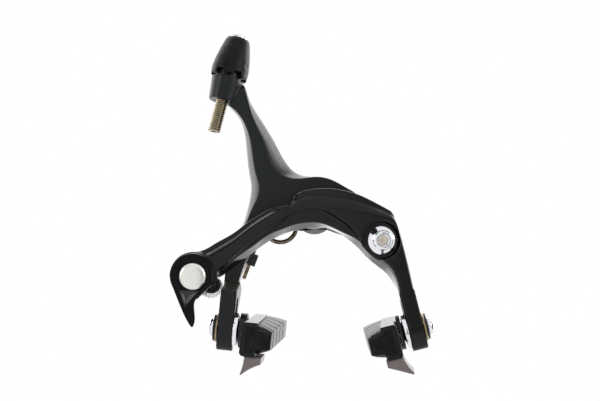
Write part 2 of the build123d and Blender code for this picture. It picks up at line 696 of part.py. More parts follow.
ferrule_top = knob_height + ferrule_proud
ferrule_foot = nut_room + ferrule_rest
shank_length = ferrule_foot + thread_reach
bolt_body = Pos(0, 0, ferrule_foot - shank_length / 2) * Cylinder(thread_radius, shank_length)
bolt_body += Pos(0, 0, (ferrule_top + ferrule_foot) / 2) * Cylinder(
    ferrule_radius, ferrule_top - ferrule_foot
)
bolt_body -= Pos(0, 0, ferrule_top - ferrule_depth / 2) * Cylinder(
    ferrule_radius - ferrule_wall, ferrule_depth
)
bolt_body -= Cylinder(cable_hole_radius, 2 * long_cut)
bolt_body -= Pos(0, key_flat + thread_radius, (key_rise - thread_reach) / 2) * Box(
    2 * thread_radius, 2 * thread_radius, thread_reach + key_rise
)
adjuster_bolt = in_place(bolt_body, *adjuster_frame)


# Pad bolts, washers and shoes, made around the middle of the leg with the rim at +x.
# The washers on the leg end in domes around that middle, so a shoe can tilt to meet the rim.

half_leg = leg_width / 2
seat_face = half_leg + seat_washer_thick
seat_dome_radius = half_leg + seat_dome_rise
domed_face = half_leg + domed_washer_thick
dome_radius = half_leg + dome_rise


def on_sphere(radius, height):
    """How far along x a sphere around the leg's middle reaches, at a height off the axis."""
    return (radius**2 - height**2) ** 0.5


def ball_ring(outer, hole, flat, face, ball):
    """A ring with one flat face at x = flat; its other face, at x = face, follows a ball near the hole."""
    foot = on_sphere(ball, face)
    half_way = (foot + hole) / 2
    section = closed_face([
        Polyline((on_sphere(ball, hole), hole), (flat, hole), (flat, outer), (face, outer), (face, foot)),
        ThreePointArc((face, foot), (on_sphere(ball, half_way), half_way), (on_sphere(ball, hole), hole)),
    ])
    return revolve(section, Axis.X)


def leg_side_bodies():
    """The two washers that lie flat on the leg, with domes toward the shoe and toward the bolt's head."""
    outside = ball_ring(seat_washer_radius, washer_hole, half_leg, seat_face, seat_dome_radius)
    return {
        "seat_washer": Rot(0, 0, 180) * outside,
        "domed_washer": ball_ring(domed_washer_radius, washer_hole, half_leg, domed_face, dome_radius),
    }


def holder_body(back):
    """The channel that carries the pad: closed at its rear end, with lips at its mouth.

    Like the pad and the fin it is made around the middle of its height, under the pad bolt.
    """
    mouth = shoe_height - 2 * (shoe_wall + shoe_lip)
    outside = Pos(back + shoe_depth / 2, 0) * Rectangle(shoe_depth, shoe_height)
    room = shoe_depth - shoe_back - shoe_lip
    inside = Pos(back + shoe_back + room / 2, 0) * Rectangle(room, shoe_height - 2 * shoe_wall)
    inside += Pos(back + shoe_depth, 0) * Rectangle(2 * (shoe_depth - shoe_back), mouth)
    body = extrude(Plane.XZ.offset(-shoe_length / 2) * outside, shoe_length)
    back_edges = body.edges().filter_by(Axis.Y).group_by(Axis.X)[0]
    body = fillet(back_edges, shoe_round)
    body -= extrude(Plane.XZ.offset(shoe_wall - shoe_length / 2) * inside, shoe_length)
    body -= Pos(0, 0, bolt_rise) * along_x(pad_bolt_radius + seat_gap, 0, back + shoe_back + seat_gap)
    return body


def pad_section(thick, along, rise):
    """The outline of the rubber at one place along the shoe: root, neck between the lips, flared tread.

    The tread stands higher than the root by the rise.
    """
    root = shoe_height / 2 - shoe_wall - slide_gap
    neck = root - shoe_lip
    upper = [
        (shoe_back + slide_gap, root), (shoe_depth - shoe_lip - slide_gap, root),
        (shoe_depth - shoe_lip - slide_gap, neck), (shoe_depth + slide_gap, neck),
        (shoe_depth + slide_gap, pad_flare_height / 2),
    ]
    lower = [(x, -z) for x, z in upper]
    face = [(thick, rise - pad_face_height / 2), (thick, rise + pad_face_height / 2)]
    return Plane.XZ.offset(-along) * Polygon(*lower, *face, *reversed(upper), align=None)


def pad_body(back):
    """The rubber, thicker toward the rear, with grooves across its face."""
    front = -shoe_length / 2
    rear = shoe_length / 2 - shoe_wall - slide_gap
    ends = [pad_section(pad_front_thick, front, 0), pad_section(pad_rear_thick, rear, pad_rear_rise)]
    body = loft(ends, ruled=True)
    for place in pad_groove_places:
        groove = Box(2 * pad_groove_depth, pad_groove, 2 * shoe_height)
        groove = Pos(pad_rear_thick, place * shoe_length, 0) * groove
        body -= groove
    return Pos(back, 0, 0) * body


def guide_body(back, shift, tip):
    """The curved fin under the shoe's front end, which leads the wheel in between the pads."""
    outer = [(fin_root, 0), ((fin_root + tip) / 2 + fin_bow, -fin_depth / 2), (tip, fin_tip_rise - fin_depth)]
    low_middle = (fin_width / 2, fin_bow - fin_depth * 2 / 3)
    under = [(tip + fin_blunt, -fin_depth), low_middle, (fin_width, -fin_end)]
    fin = closed_face([
        Spline(*outer), Line(outer[-1], under[0]), Spline(*under), Line(under[-1], (fin_width, 0)),
        Line((fin_width, 0), outer[0]),
    ])
    forward = guide_forward - guide_length / 2
    top = -shoe_height / 2 - seat_gap
    return extrude(Plane.XZ.offset(forward) * Pos(back + shift, top) * fin, guide_length)


def shoe_bodies(stack, fin):
    """Everything that tilts with the shoe: pad bolt, its two washers, holder, pad, fin and pad screw."""
    back = half_leg + stack
    near = seat_face + outer_washer_gap
    far = near + outer_washer_thick
    head_top = far + pad_head_thick
    socket = RegularPolygon(pad_socket_flats / 2, 6, major_radius=False)
    crown = Pos(pad_head_thick / 2 - far, 0, 0) * Sphere(pad_head_radius + pad_head_crown)
    bolt = along_x(pad_head_radius, -head_top, -far) & crown
    bolt += along_x(pad_bolt_radius, -far, back + shoe_back - running)
    bolt -= extrude(Plane.YZ.offset(-head_top - past) * socket, past + pad_socket_depth)
    hole = pad_bolt_radius + slide_gap
    outer = Rot(0, 0, 180) * ball_ring(outer_washer_radius, hole, far, near, seat_dome_radius + running)
    screw_place = Pos(0, -shoe_length * pad_screw_share, 0)
    screw = along_x(pad_screw_head_radius, back - pad_screw_head_thick, back)
    screw += along_x(pad_screw_radius, back, back + shoe_back + running)
    screw_hole = along_x(pad_screw_radius + seat_gap, 0, back + shoe_back + past)
    dished_face = domed_face + dished_washer_gap
    under_bolt = Pos(0, 0, -bolt_rise)
    return {
        "pad_bolt": bolt,
        "outer_washer": outer,
        "dished_washer": ball_ring(dished_washer_radius, hole, back, dished_face, dome_radius + running),
        "shoe_holder": under_bolt * (holder_body(back) - screw_place * screw_hole),
        "brake_pad": under_bolt * pad_body(back),
        "wheel_guide": under_bolt * guide_body(back, *fin),
        "pad_screw": under_bolt * screw_place * screw,
    }


def shoe_side(side, foot, lean, stack, leg_toe, toe, pitch, fin):
    """All clamped pieces of one side. Left pieces face +x, right ones are their mirror image."""
    placed = {}
    bolt = leg_point(foot, lean, 0, bolt_rise)
    for bodies, turns in ((leg_side_bodies(), (leg_toe,)), (shoe_bodies(stack, fin), (toe, pitch))):
        for name, body in bodies.items():
            if side == "right":
                body = mirror(body, about=Plane.YZ)
            placed[side + "_" + name] = in_place(body, bolt, leg_middle, lean, *turns)
    return placed


pieces = {
    "c_arm": c_arm,
    "y_arm": y_arm,
    "bracket": bracket,
    "mounting_bolt": mounting_bolt,
    "serrated_washer": serrated_washer,
    "rear_thrust_washer": rear_thrust_washer,
    "front_thrust_washer": front_thrust_washer,
    "centre_bush": centre_bush,
    "centre_nut": centre_nut,
    "offset_pivot_bolt": offset_pivot_bolt,
    "offset_bush": offset_bush,
    "rear_pivot_washer": rear_pivot_washer,
    "front_pivot_washer": front_pivot_washer,
    "return_spring": return_spring,
    "spring_slider": spring_slider,
    "link_pin": link_pin,
    "centering_screw": centering_screw,
    "qr_lever": qr_lever,
    "qr_camshaft": qr_camshaft,
    "qr_cap": qr_cap,
    "anchor_block": anchor_block,
    "cable_clamp_plate": cable_clamp_plate,
    "cable_clamp_bolt": cable_clamp_bolt,
    "adjuster_knob": adjuster_knob,
    "adjuster_nut": adjuster_nut,
    "adjuster_bolt": adjuster_bolt,
}
pieces.update(shoe_side(
    "left", left_bolt, left_open, left_stack, -left_leg_toe, -left_toe, left_pitch, left_fin
))
pieces.update(shoe_side(
    "right", right_bolt, -right_open, right_stack, -right_leg_toe, -right_toe, right_pitch, right_fin
))

os.makedirs("parts", exist_ok=True)
for name, piece in pieces.items():
    export_step(piece, "parts/" + name + ".step")
print(len(pieces), "pieces")
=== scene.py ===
# %% [markdown]
# A road bicycle's dual pivot rim brake caliper, sprung open, as in a studio photograph on white.
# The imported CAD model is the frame: every piece here stands exactly where its solid stands, in metres.
# Solids with the right shape keep their mesh and get a finish. Forged, moulded, turned and threaded
# pieces are modelled again here, because their soft edges and threads are what the eye looks for.

import json
from math import atan2, cos, radians, sin, tau

import bmesh
import bpy
from mathutils import Matrix, Vector


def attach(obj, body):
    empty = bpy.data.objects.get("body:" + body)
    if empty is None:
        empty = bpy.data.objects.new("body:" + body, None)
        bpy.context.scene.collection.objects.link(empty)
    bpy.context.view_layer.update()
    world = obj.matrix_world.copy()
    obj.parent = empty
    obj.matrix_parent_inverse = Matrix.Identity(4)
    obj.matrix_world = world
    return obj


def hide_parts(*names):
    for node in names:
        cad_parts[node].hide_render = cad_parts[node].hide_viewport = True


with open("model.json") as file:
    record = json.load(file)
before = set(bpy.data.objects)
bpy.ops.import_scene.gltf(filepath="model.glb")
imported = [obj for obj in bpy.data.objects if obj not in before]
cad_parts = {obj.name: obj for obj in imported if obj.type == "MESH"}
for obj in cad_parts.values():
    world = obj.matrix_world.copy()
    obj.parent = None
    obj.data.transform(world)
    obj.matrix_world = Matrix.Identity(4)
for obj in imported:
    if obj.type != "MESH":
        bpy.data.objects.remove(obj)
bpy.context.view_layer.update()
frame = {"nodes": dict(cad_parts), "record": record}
nodes = frame["nodes"]
MM = 0.001

# %% [markdown]
# The photograph is taken from straight in front and about level with the mounting bolt, with a long lens.
# The caliper stands a little turned in the picture, so the camera rolls instead of the caliper:
# its three axes are written straight into a matrix, which is clearer than a chain of angles.

# %% Camera
roll = radians(2.8)
camera_data = bpy.data.cameras.new("front_camera")
camera_data.sensor_width = 36.0
camera_data.lens = 94.86
camera_data.clip_start = 0.01
camera = bpy.data.objects.new("front_camera", camera_data)
bpy.context.scene.collection.objects.link(camera)
right = Vector((cos(roll), 0.0, -sin(roll)))
up = Vector((sin(roll), 0.0, cos(roll)))
back = Vector((0.0, -1.0, 0.0))
place = Vector((-5.6, -652.0, 6.4)) * MM
camera.matrix_world = Matrix((
    (right.x, up.x, back.x, place.x),
    (right.y, up.y, back.y, place.y),
    (right.z, up.z, back.z, place.z),
    (0.0, 0.0, 0.0, 1.0),
))
bpy.context.scene.camera = camera
bpy.context.scene.view_settings.view_transform = "Standard"
print("camera at", [round(v / MM) for v in camera.location])

# %% [markdown]
# Every material below is a graph of shader nodes. Three short helpers keep those graphs readable: one makes
# a node with its constants, one draws the wires, and one shows a shader to some kinds of ray only.

# %% Node helpers
def add_node(tree, kind, sockets=None, **settings):
    """A new shader node: sockets are its constants by name, settings its own properties."""
    node = tree.nodes.new("ShaderNode" + kind)
    for name, value in settings.items():
        setattr(node, name, value)
    for name, value in (sockets or {}).items():
        node.inputs[name].default_value = value
    return node


def wire(tree, *pairs):
    """Links each pair of an output and an input."""
    for source, goal in pairs:
        tree.links.new(source, goal)


def shown_to(tree, rays, usual, shown, out):
    """Lets the listed kinds of ray meet one shader, and all other rays the usual one."""
    paths = add_node(tree, "LightPath")
    mask = paths.outputs[rays[0]]
    for ray in rays[1:]:
        either = add_node(tree, "Math", operation="MAXIMUM")
        wire(tree, (mask, either.inputs[0]), (paths.outputs[ray], either.inputs[1]))
        mask = either.outputs[0]
    choose = add_node(tree, "MixShader")
    wire(
        tree, (mask, choose.inputs["Fac"]), (usual.outputs[0], choose.inputs[1]),
        (shown.outputs[0], choose.inputs[2]), (choose.outputs[0], out),
    )


# %% [markdown]
# Black paint and chrome show little of their own: what they reflect makes them. The world is plain white
# to the camera and to reflections, and dimmer where it lights the caliper. Seen straight on, a black
# surface mirrors about 4 % of that white; at a grazing angle it mirrors nearly all, so the flanks of the
# arms shine. A big soft light behind the caliper, out of the camera's sight, lifts those flanks further,
# as an overexposed backdrop does. Black cards at the sides, high and low give the chrome its dark streaks,
# and a grey card behind the camera dulls what the flat front faces mirror.

# %% World, lamps and cards
world = bpy.data.worlds.new("white_tent")
bpy.context.scene.world = world
world.use_nodes = True
tree = world.node_tree
tree.nodes.clear()
shown_white = add_node(tree, "Background", {"Color": (1.0, 1.0, 1.0, 1.0), "Strength": 1.0})
lighting = add_node(tree, "Background", {"Color": (1.0, 0.99, 0.98, 1.0), "Strength": 0.55})
sky_out = add_node(tree, "OutputWorld")
seen_or_mirrored = ("Is Camera Ray", "Is Glossy Ray")
shown_to(
    tree, seen_or_mirrored + ("Is Transmission Ray",), lighting, shown_white, sky_out.inputs["Surface"],
)


def panel(name, centre, look_at, width, height, paint):
    """A flat sheet of the studio, facing a point."""
    mesh = bmesh.new()
    bmesh.ops.create_grid(mesh, x_segments=1, y_segments=1, size=0.5)
    bmesh.ops.scale(mesh, vec=(width, height, 1.0), verts=mesh.verts)
    turn = (Vector(look_at) - Vector(centre)).to_track_quat("Z", "Y").to_matrix()
    bmesh.ops.rotate(mesh, matrix=turn, verts=mesh.verts)
    bmesh.ops.translate(mesh, vec=centre, verts=mesh.verts)
    data = bpy.data.meshes.new(name)
    mesh.to_mesh(data)
    mesh.free()
    data.materials.append(paint)
    sheet = bpy.data.objects.new(name, data)
    bpy.context.scene.collection.objects.link(sheet)
    return sheet


def card_finish(name, shade, roughness, glow):
    """Card without gloss; its glow is how light a grey it looks in a reflection."""
    paint = bpy.data.materials.new(name)
    paint.use_nodes = True
    shader = paint.node_tree.nodes["Principled BSDF"]
    shader.inputs["Base Color"].default_value = (shade, shade, shade, 1.0)
    shader.inputs["Roughness"].default_value = roughness
    shader.inputs["Specular IOR Level"].default_value = 0.0
    shader.inputs["Emission Color"].default_value = (1.0, 1.0, 1.0, 1.0)
    shader.inputs["Emission Strength"].default_value = glow
    return paint


target = (0.0, -0.03, 0.0)
black_card = card_finish("card_black", 0.01, 1.0, 0.0)
grey_card = card_finish("card_grey", 0.0, 0.5, 0.4)
cards = (
    ("left_card", (-0.75, -0.3, 0.05), 0.16, 0.9, black_card),
    ("right_card", (0.78, -0.1, 0.05), 0.2, 0.9, black_card),
    ("high_card", (-0.42, -0.55, 0.48), 0.4, 0.4, black_card),
    ("corner_card", (0.4, -0.5, -0.42), 0.1, 0.3, black_card),
    ("front_card", (0.15, -0.66, 0.0), 0.2, 0.5, grey_card),
)
for name, centre, width, height, paint in cards:
    card = panel(name, centre, target, width, height, paint)
    card.visible_camera = False
    card.visible_diffuse = False
    card.visible_shadow = False

lamps = (
    ("backdrop", (0.0, 0.8, 0.0), (2.0, 1.5), 8.0),
    ("top_lamp", (-0.1, 0.3, 0.65), (0.9, 0.5), 3.6),
    ("left_rim", (-0.7, 0.4, 0.1), (0.5, 0.9), 2.8),
    ("right_rim", (0.7, 0.4, 0.1), (0.5, 0.9), 4.4),
    ("left_lamp", (-0.6, -0.35, 0.25), (0.3, 0.4), 1.2),
    ("right_lamp", (0.6, -0.3, 0.2), (0.3, 0.4), 0.9),
)
for name, centre, size, watts in lamps:
    data = bpy.data.lights.new(name, "AREA")
    data.shape = "RECTANGLE"
    data.size, data.size_y = size
    data.energy = watts
    lamp = bpy.data.objects.new(name, data)
    lamp.location = centre
    lamp.rotation_euler = (Vector(target) - Vector(centre)).to_track_quat("-Z", "Y").to_euler()
    lamp.visible_camera = False
    bpy.context.scene.collection.objects.link(lamp)
print("cards", len(cards), "lamps", len(lamps))

# %% [markdown]
# The floor is white to the camera, far enough below for the caliper's shadow to stay out of the picture,
# because this part hangs by its bolt and stands on nothing.

# %% Floor
floor_paint = bpy.data.materials.new("floor_white")
floor_paint.use_nodes = True
tree = floor_paint.node_tree
shader = tree.nodes["Principled BSDF"]
shader.inputs["Base Color"].default_value = (0.9, 0.9, 0.9, 1.0)
shader.inputs["Roughness"].default_value = 0.9
glow = add_node(tree, "Emission", {"Strength": 1.0})
shown_to(tree, seen_or_mirrored, shader, glow, tree.nodes["Material Output"].inputs["Surface"])
floor_drop, floor_side = 0.45, 6.0
panel("floor", (0.0, 0.0, -floor_drop), (0.0, 0.0, 1.0), floor_side, floor_side, floor_paint)
print("floor at", floor_drop, "m below the mounting bolt")

# %% [markdown]
# Two small effects come back in most finishes, so each is a node group. "surface_grain" is the fine
# unevenness of paint, plating or moulded plastic: it puts out a mask for roughness and a normal for bump.
# "edge_wear" finds edges by comparing the true normal with a rounded one, and breaks the line up with noise.

# %% Node groups
def new_group(name, inputs, outputs):
    """An empty node group with its sockets, and its inner entry and exit."""
    group = bpy.data.node_groups.new(name, "ShaderNodeTree")
    for title, kind, value in inputs:
        socket = group.interface.new_socket(title, in_out="INPUT", socket_type=kind)
        socket.default_value = value
    for title, kind in outputs:
        group.interface.new_socket(title, in_out="OUTPUT", socket_type=kind)
    entry = group.nodes.new("NodeGroupInput")
    leave = group.nodes.new("NodeGroupOutput")
    return group, entry, leave


number, direction = "NodeSocketFloat", "NodeSocketVector"
grain, entry, leave = new_group(
    "surface_grain",
    [("Scale", number, 900.0), ("Depth", number, 0.1), ("Distance", number, 0.00004)],
    [("Mask", number), ("Normal", direction)],
)
where = add_node(grain, "TexCoord")
fine = add_node(grain, "TexNoise", {"Detail": 4.0, "Roughness": 0.6})
bump = add_node(grain, "Bump")
wire(
    grain,
    (where.outputs["Object"], fine.inputs["Vector"]),
    (entry.outputs["Scale"], fine.inputs["Scale"]),
    (entry.outputs["Depth"], bump.inputs["Strength"]),
    (entry.outputs["Distance"], bump.inputs["Distance"]),
    (fine.outputs["Fac"], bump.inputs["Height"]),
    (fine.outputs["Fac"], leave.inputs["Mask"]),
    (bump.outputs["Normal"], leave.inputs["Normal"]),
)

wear, entry, leave = new_group(
    "edge_wear", [("Radius", number, 0.0006), ("Amount", number, 0.4)], [("Mask", number)],
)
rounded = add_node(wear, "Bevel", samples=4)
flat = add_node(wear, "NewGeometry")
agree = add_node(wear, "VectorMath", operation="DOT_PRODUCT")
edge = add_node(wear, "MapRange", {"From Min": 0.995, "From Max": 0.86})
where = add_node(wear, "TexCoord")
patches = add_node(wear, "TexNoise", {"Scale": 260.0, "Detail": 3.0})
broken = add_node(wear, "Math", operation="MULTIPLY")
strength = add_node(wear, "Math", operation="MULTIPLY")
wire(
    wear,
    (entry.outputs["Radius"], rounded.inputs["Radius"]),
    (rounded.outputs["Normal"], agree.inputs[0]),
    (flat.outputs["Normal"], agree.inputs[1]),
    (agree.outputs["Value"], edge.inputs["Value"]),
    (where.outputs["Object"], patches.inputs["Vector"]),
    (edge.outputs["Result"], broken.inputs[0]),
    (patches.outputs["Fac"], broken.inputs[1]),
    (broken.outputs[0], strength.inputs[0]),
    (entry.outputs["Amount"], strength.inputs[1]),
    (strength.outputs[0], leave.inputs["Mask"]),
)
print("groups", [group.name for group in bpy.data.node_groups])

# %% [markdown]
# Every finish on the caliper is one Principled shader. Its colour is a mix of a base and an edge colour,
# its roughness runs between two values with the grain, and the grain's normal gives the surface its bite.
# A stain, where there is one, is a second colour in clouds, as zinc plating and old rubber show it.

# %% Finish builder
def finish_of(name, colour, edge_colour, roughness, metallic=0.0, scale=900.0, depth=0.1, wear_amount=0.4,
              specular=0.5, stain=None):
    """A finish: roughness is (least, most), scale and depth are the grain's, stain is (colour, scale)."""
    made = bpy.data.materials.new(name)
    made.use_nodes = True
    tree = made.node_tree
    shader = tree.nodes["Principled BSDF"]
    shader.inputs["Metallic"].default_value = metallic
    shader.inputs["Specular IOR Level"].default_value = specular
    grained = add_node(tree, "Group", node_tree=grain)
    grained.inputs["Scale"].default_value = scale
    grained.inputs["Depth"].default_value = depth
    worn = add_node(tree, "Group", node_tree=wear)
    worn.inputs["Amount"].default_value = wear_amount
    colours = add_node(tree, "Mix", data_type="RGBA")
    colours.inputs["A"].default_value = (*colour, 1.0)
    colours.inputs["B"].default_value = (*edge_colour, 1.0)
    wire(tree, (worn.outputs["Mask"], colours.inputs["Factor"]))
    last = colours.outputs["Result"]
    if stain:
        stain_colour, stain_scale = stain
        where = add_node(tree, "TexCoord")
        cloudy = add_node(tree, "TexNoise", {"Scale": stain_scale, "Detail": 5.0})
        spread = add_node(tree, "MapRange", {"From Min": 0.42, "From Max": 0.66})
        tint = add_node(tree, "Mix", data_type="RGBA")
        tint.inputs["B"].default_value = (*stain_colour, 1.0)
        wire(
            tree,
            (where.outputs["Object"], cloudy.inputs["Vector"]),
            (cloudy.outputs["Fac"], spread.inputs["Value"]),
            (spread.outputs["Result"], tint.inputs["Factor"]),
            (last, tint.inputs["A"]),
        )
        last = tint.outputs["Result"]
    least, most = roughness
    span = add_node(tree, "MapRange", {"From Min": 0.3, "From Max": 0.7, "To Min": least, "To Max": most})
    wire(
        tree,
        (last, shader.inputs["Base Color"]),
        (grained.outputs["Mask"], span.inputs["Value"]),
        (span.outputs["Result"], shader.inputs["Roughness"]),
        (grained.outputs["Normal"], shader.inputs["Normal"]),
    )
    return made


# %% [markdown]
# The finishes themselves: lacquer on the front arm, satin anodising on the rear arm, blacks of the lever,
# knob, holders and pads, then the bare and plated metals. A colour is linear red, green and blue. Black
# parts sit far below a printed black, because the white tent adds its reflection to all of them.

# %% Finishes
gloss_black = finish_of(
    "front_arm_black", (0.0055, 0.0055, 0.0055), (0.03, 0.03, 0.03), (0.13, 0.2),
    depth=0.02, wear_amount=0.2, scale=400.0, specular=0.26,
)
satin_black = finish_of(
    "rear_arm_black", (0.008, 0.0105, 0.0115), (0.04, 0.042, 0.044), (0.3, 0.38),
    depth=0.08, wear_amount=0.2, scale=1400.0, specular=0.24,
)
# Painted highlight: a lighter, warmer black for the small step on the left leg, which faces the light.
ledge_painted_highlight = finish_of(
    "ledge_painted_highlight", (0.04, 0.04, 0.032), (0.06, 0.06, 0.05), (0.45, 0.6), depth=0.15, specular=0.4,
)
lever_black = finish_of(
    "lever_black", (0.003, 0.0034, 0.0055), (0.05, 0.04, 0.03), (0.14, 0.2),
    depth=0.02, wear_amount=0.35, specular=0.1,
)
# Painted highlight: a lighter black for the forward faces of the lever's hollow.
lever_painted_highlight = finish_of(
    "lever_painted_highlight", (0.0075, 0.007, 0.0065), (0.07, 0.06, 0.05), (0.2, 0.3), depth=0.04, specular=0.5,
)
knob_black = finish_of(
    "knob_black", (0.005, 0.0053, 0.006), (0.035, 0.035, 0.04), (0.3, 0.38),
    depth=0.1, scale=2600.0, specular=0.15,
)
holder_black = finish_of(
    "holder_black", (0.004, 0.005, 0.007), (0.09, 0.09, 0.1), (0.22, 0.32),
    depth=0.08, wear_amount=0.6, specular=0.2,
)
pad_rubber = finish_of(
    "pad_rubber", (0.0065, 0.006, 0.0055), (0.04, 0.037, 0.034), (0.28, 0.38),
    depth=0.12, scale=1600.0, specular=0.1, wear_amount=0.3, stain=((0.014, 0.013, 0.012), 300.0),
)
guide_grey = finish_of(
    "guide_grey", (0.17, 0.145, 0.14), (0.34, 0.3, 0.29), (0.34, 0.46),
    depth=0.12, scale=1500.0, specular=0.4,
)
slider_dark = finish_of(
    "slider_dark", (0.012, 0.011, 0.01), (0.1, 0.09, 0.08), (0.4, 0.55), depth=0.2,
)
cap_silver = finish_of(
    "cap_silver", (0.8, 0.785, 0.75), (0.9, 0.89, 0.87), (0.26, 0.36),
    metallic=1.0, depth=0.08, scale=2400.0,
)
chrome = finish_of(
    "bolt_chrome", (0.8, 0.81, 0.84), (0.95, 0.95, 0.95), (0.06, 0.12),
    metallic=1.0, depth=0.03, wear_amount=0.2,
)
plate_silver = finish_of(
    "plate_silver", (0.82, 0.78, 0.79), (0.95, 0.94, 0.94), (0.2, 0.34),
    metallic=1.0, depth=0.14, scale=1300.0,
)
forged_silver = finish_of(
    "bracket_silver", (0.33, 0.325, 0.31), (0.6, 0.59, 0.57), (0.34, 0.48), metallic=1.0, depth=0.16,
)
plated_steel = finish_of(
    "plated_steel", (0.36, 0.36, 0.37), (0.6, 0.6, 0.6), (0.26, 0.4),
    metallic=1.0, depth=0.1, scale=1200.0,
)
# Dark steel for the dark washers; the same finish paints shade on the adjuster's nut and on the pivot
# socket's walls.
dark_steel_and_painted_shade = finish_of(
    "dark_steel_and_painted_shade", (0.012, 0.012, 0.013), (0.12, 0.11, 0.1), (0.28, 0.4),
    metallic=0.2, depth=0.1, specular=0.3,
)
zinc_gold = finish_of(
    "zinc_gold", (0.38, 0.28, 0.16), (0.6, 0.5, 0.34), (0.18, 0.34),
    metallic=1.0, depth=0.1, stain=((0.25, 0.2, 0.13), 700.0),
)
thread_gold = finish_of(
    "thread_gold", (0.26, 0.21, 0.125), (0.5, 0.46, 0.37), (0.2, 0.32),
    metallic=1.0, depth=0.06, stain=((0.2, 0.18, 0.14), 500.0),
)
# Painted reflection: a light warm colour, half metallic, for the drilled floor of the pivot screw's socket.
socket_painted_reflection = finish_of(
    "socket_painted_reflection", (0.95, 0.88, 0.74), (0.85, 0.8, 0.7), (0.3, 0.4),
    metallic=0.5, depth=0.1, scale=2000.0,
)
bronze = finish_of(
    "bush_bronze", (0.4, 0.27, 0.13), (0.6, 0.46, 0.28), (0.35, 0.5), metallic=1.0, depth=0.15,
)
spring_brown = finish_of(
    "spring_brown", (0.26, 0.21, 0.15), (0.6, 0.54, 0.44), (0.2, 0.32),
    metallic=1.0, depth=0.08, scale=1800.0, stain=((0.1, 0.085, 0.06), 420.0),
)
print("finishes", len(bpy.data.materials))

# %% [markdown]
# The record gives every solid a material slot, so one table from slots to finishes dresses them all.
# A second table holds the few pieces that look different from the rest of their slot: bolts and washers
# that nobody polishes are duller than the bolts that show, and the adjuster's nut, in a narrow shaded gap,
# is painted dark: painted shade.

# %% Dress the solids
finish_for = {
    "alloy_black_gloss": gloss_black, "alloy_black_satin": satin_black, "lever_black": lever_black,
    "alloy_silver": forged_silver, "steel_bright": chrome, "steel_dark": dark_steel_and_painted_shade,
    "zinc_yellow": zinc_gold, "bush_bronze": bronze, "spring_steel": spring_brown,
    "slider_plastic": slider_dark, "knob_black": knob_black, "holder_black": holder_black,
    "pad_rubber": pad_rubber, "guide_grey": guide_grey,
}
own_finish = {
    # The adjuster's nut takes the dark finish as painted shade for its shaded gap.
    "cable_clamp_plate": plate_silver, "adjuster_nut": dark_steel_and_painted_shade, "mounting_bolt": plated_steel,
    "centre_nut": plated_steel, "serrated_washer": plated_steel, "rear_thrust_washer": plated_steel,
    "front_thrust_washer": plated_steel, "rear_pivot_washer": plated_steel,
    "front_pivot_washer": plated_steel,
}
slot_of = {part["node"]: part["material_slot"] for part in frame["record"]["subparts"]}
for name, node in nodes.items():
    node.data.materials.clear()
    node.data.materials.append(own_finish.get(name, finish_for[slot_of[name]]))
print("dressed", len(nodes))

# %% [markdown]
# The solids' meshes are loose triangles, so a Weld joins them, a Bevel breaks their sharp edges as any
# machined part has them broken, and smooth shading then follows the round. The pressed holders and the
# moulded fins have softer edges than the turned and milled pieces.

# %% Soft edges for machined solids
same_place = 0.000002
sharp_angle = radians(35)


def soften(node, width):
    """Breaks the sharp edges of a solid and shades it smooth."""
    weld = node.modifiers.new("weld", "WELD")
    weld.merge_threshold = same_place
    edge_break = node.modifiers.new("edge_break", "BEVEL")
    edge_break.width = width
    edge_break.segments = 2
    edge_break.limit_method = "ANGLE"
    edge_break.angle_limit = sharp_angle
    edge_break.use_clamp_overlap = True
    node.data.shade_smooth()
    shading = node.modifiers.new("shading", "WEIGHTED_NORMAL")
    shading.keep_sharp = True


machined_break, holder_break, fin_break = 0.00018, 0.0003, 0.00045
sides = ("left", "right")
machined = [
    "bracket", "mounting_bolt", "centre_nut", "serrated_washer", "link_pin", "qr_camshaft",
    "anchor_block", "cable_clamp_plate", "cable_clamp_bolt", "centering_screw", "spring_slider",
]
machined += [side + "_" + part for side in sides for part in (
    "pad_bolt", "outer_washer", "seat_washer", "domed_washer", "dished_washer", "pad_screw",
)]
for name in machined:
    soften(nodes[name], machined_break)
for side in sides:
    soften(nodes[side + "_shoe_holder"], holder_break)
    soften(nodes[side + "_wheel_guide"], fin_break)
print("softened", len(machined) + 2 * len(sides))

# %% [markdown]
# The two arms are cold forged: no edge on them is sharp, and light runs round them in soft bands. A copy of
# each solid is remeshed to small even squares and smoothed a little, which rounds every edge alike. Where
# a real forging flows from one form to the next, more passes of smoothing work on that place alone.
# The small sloping step on the left leg faces up and forward into the light, so its faces get a lighter,
# warmer black of their own: a painted highlight.

# %% Forged copies
def placed(place, lean=0.0, toe=0.0, pitch=0.0, mirrored=False):
    """From a piece's own millimetres to its place: (x, z) in the front view and how far forward."""
    turn = Matrix.Rotation(radians(lean), 4, "Y") @ Matrix.Rotation(radians(toe), 4, "Z")
    turn = turn @ Matrix.Rotation(radians(pitch), 4, "X")
    side = Matrix.Scale(-1.0 if mirrored else 1.0, 4, (1.0, 0.0, 0.0))
    x, z, forward = place
    return Matrix.Translation(Vector((x, -forward, z)) * MM) @ turn @ side @ Matrix.Scale(MM, 4)


def finished(name, data, body, node_name, finish, hides=True):
    """Hands a shaped mesh to the frame as a piece that rides a body.

    It stands for a solid and hides it, unless another piece already does.
    """
    piece = bpy.data.objects.new(name, data)
    bpy.context.scene.collection.objects.link(piece)
    # A copied solid brings its finish along. A mesh made here has none, and clearing nothing would
    # still reset the finish numbers of its faces.
    if data.materials:
        data.materials.clear()
    data.materials.append(finish)
    data.shade_smooth()
    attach(piece, body)
    if hides:
        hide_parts(node_name)
    print(name, "faces", len(data.polygons))
    return piece


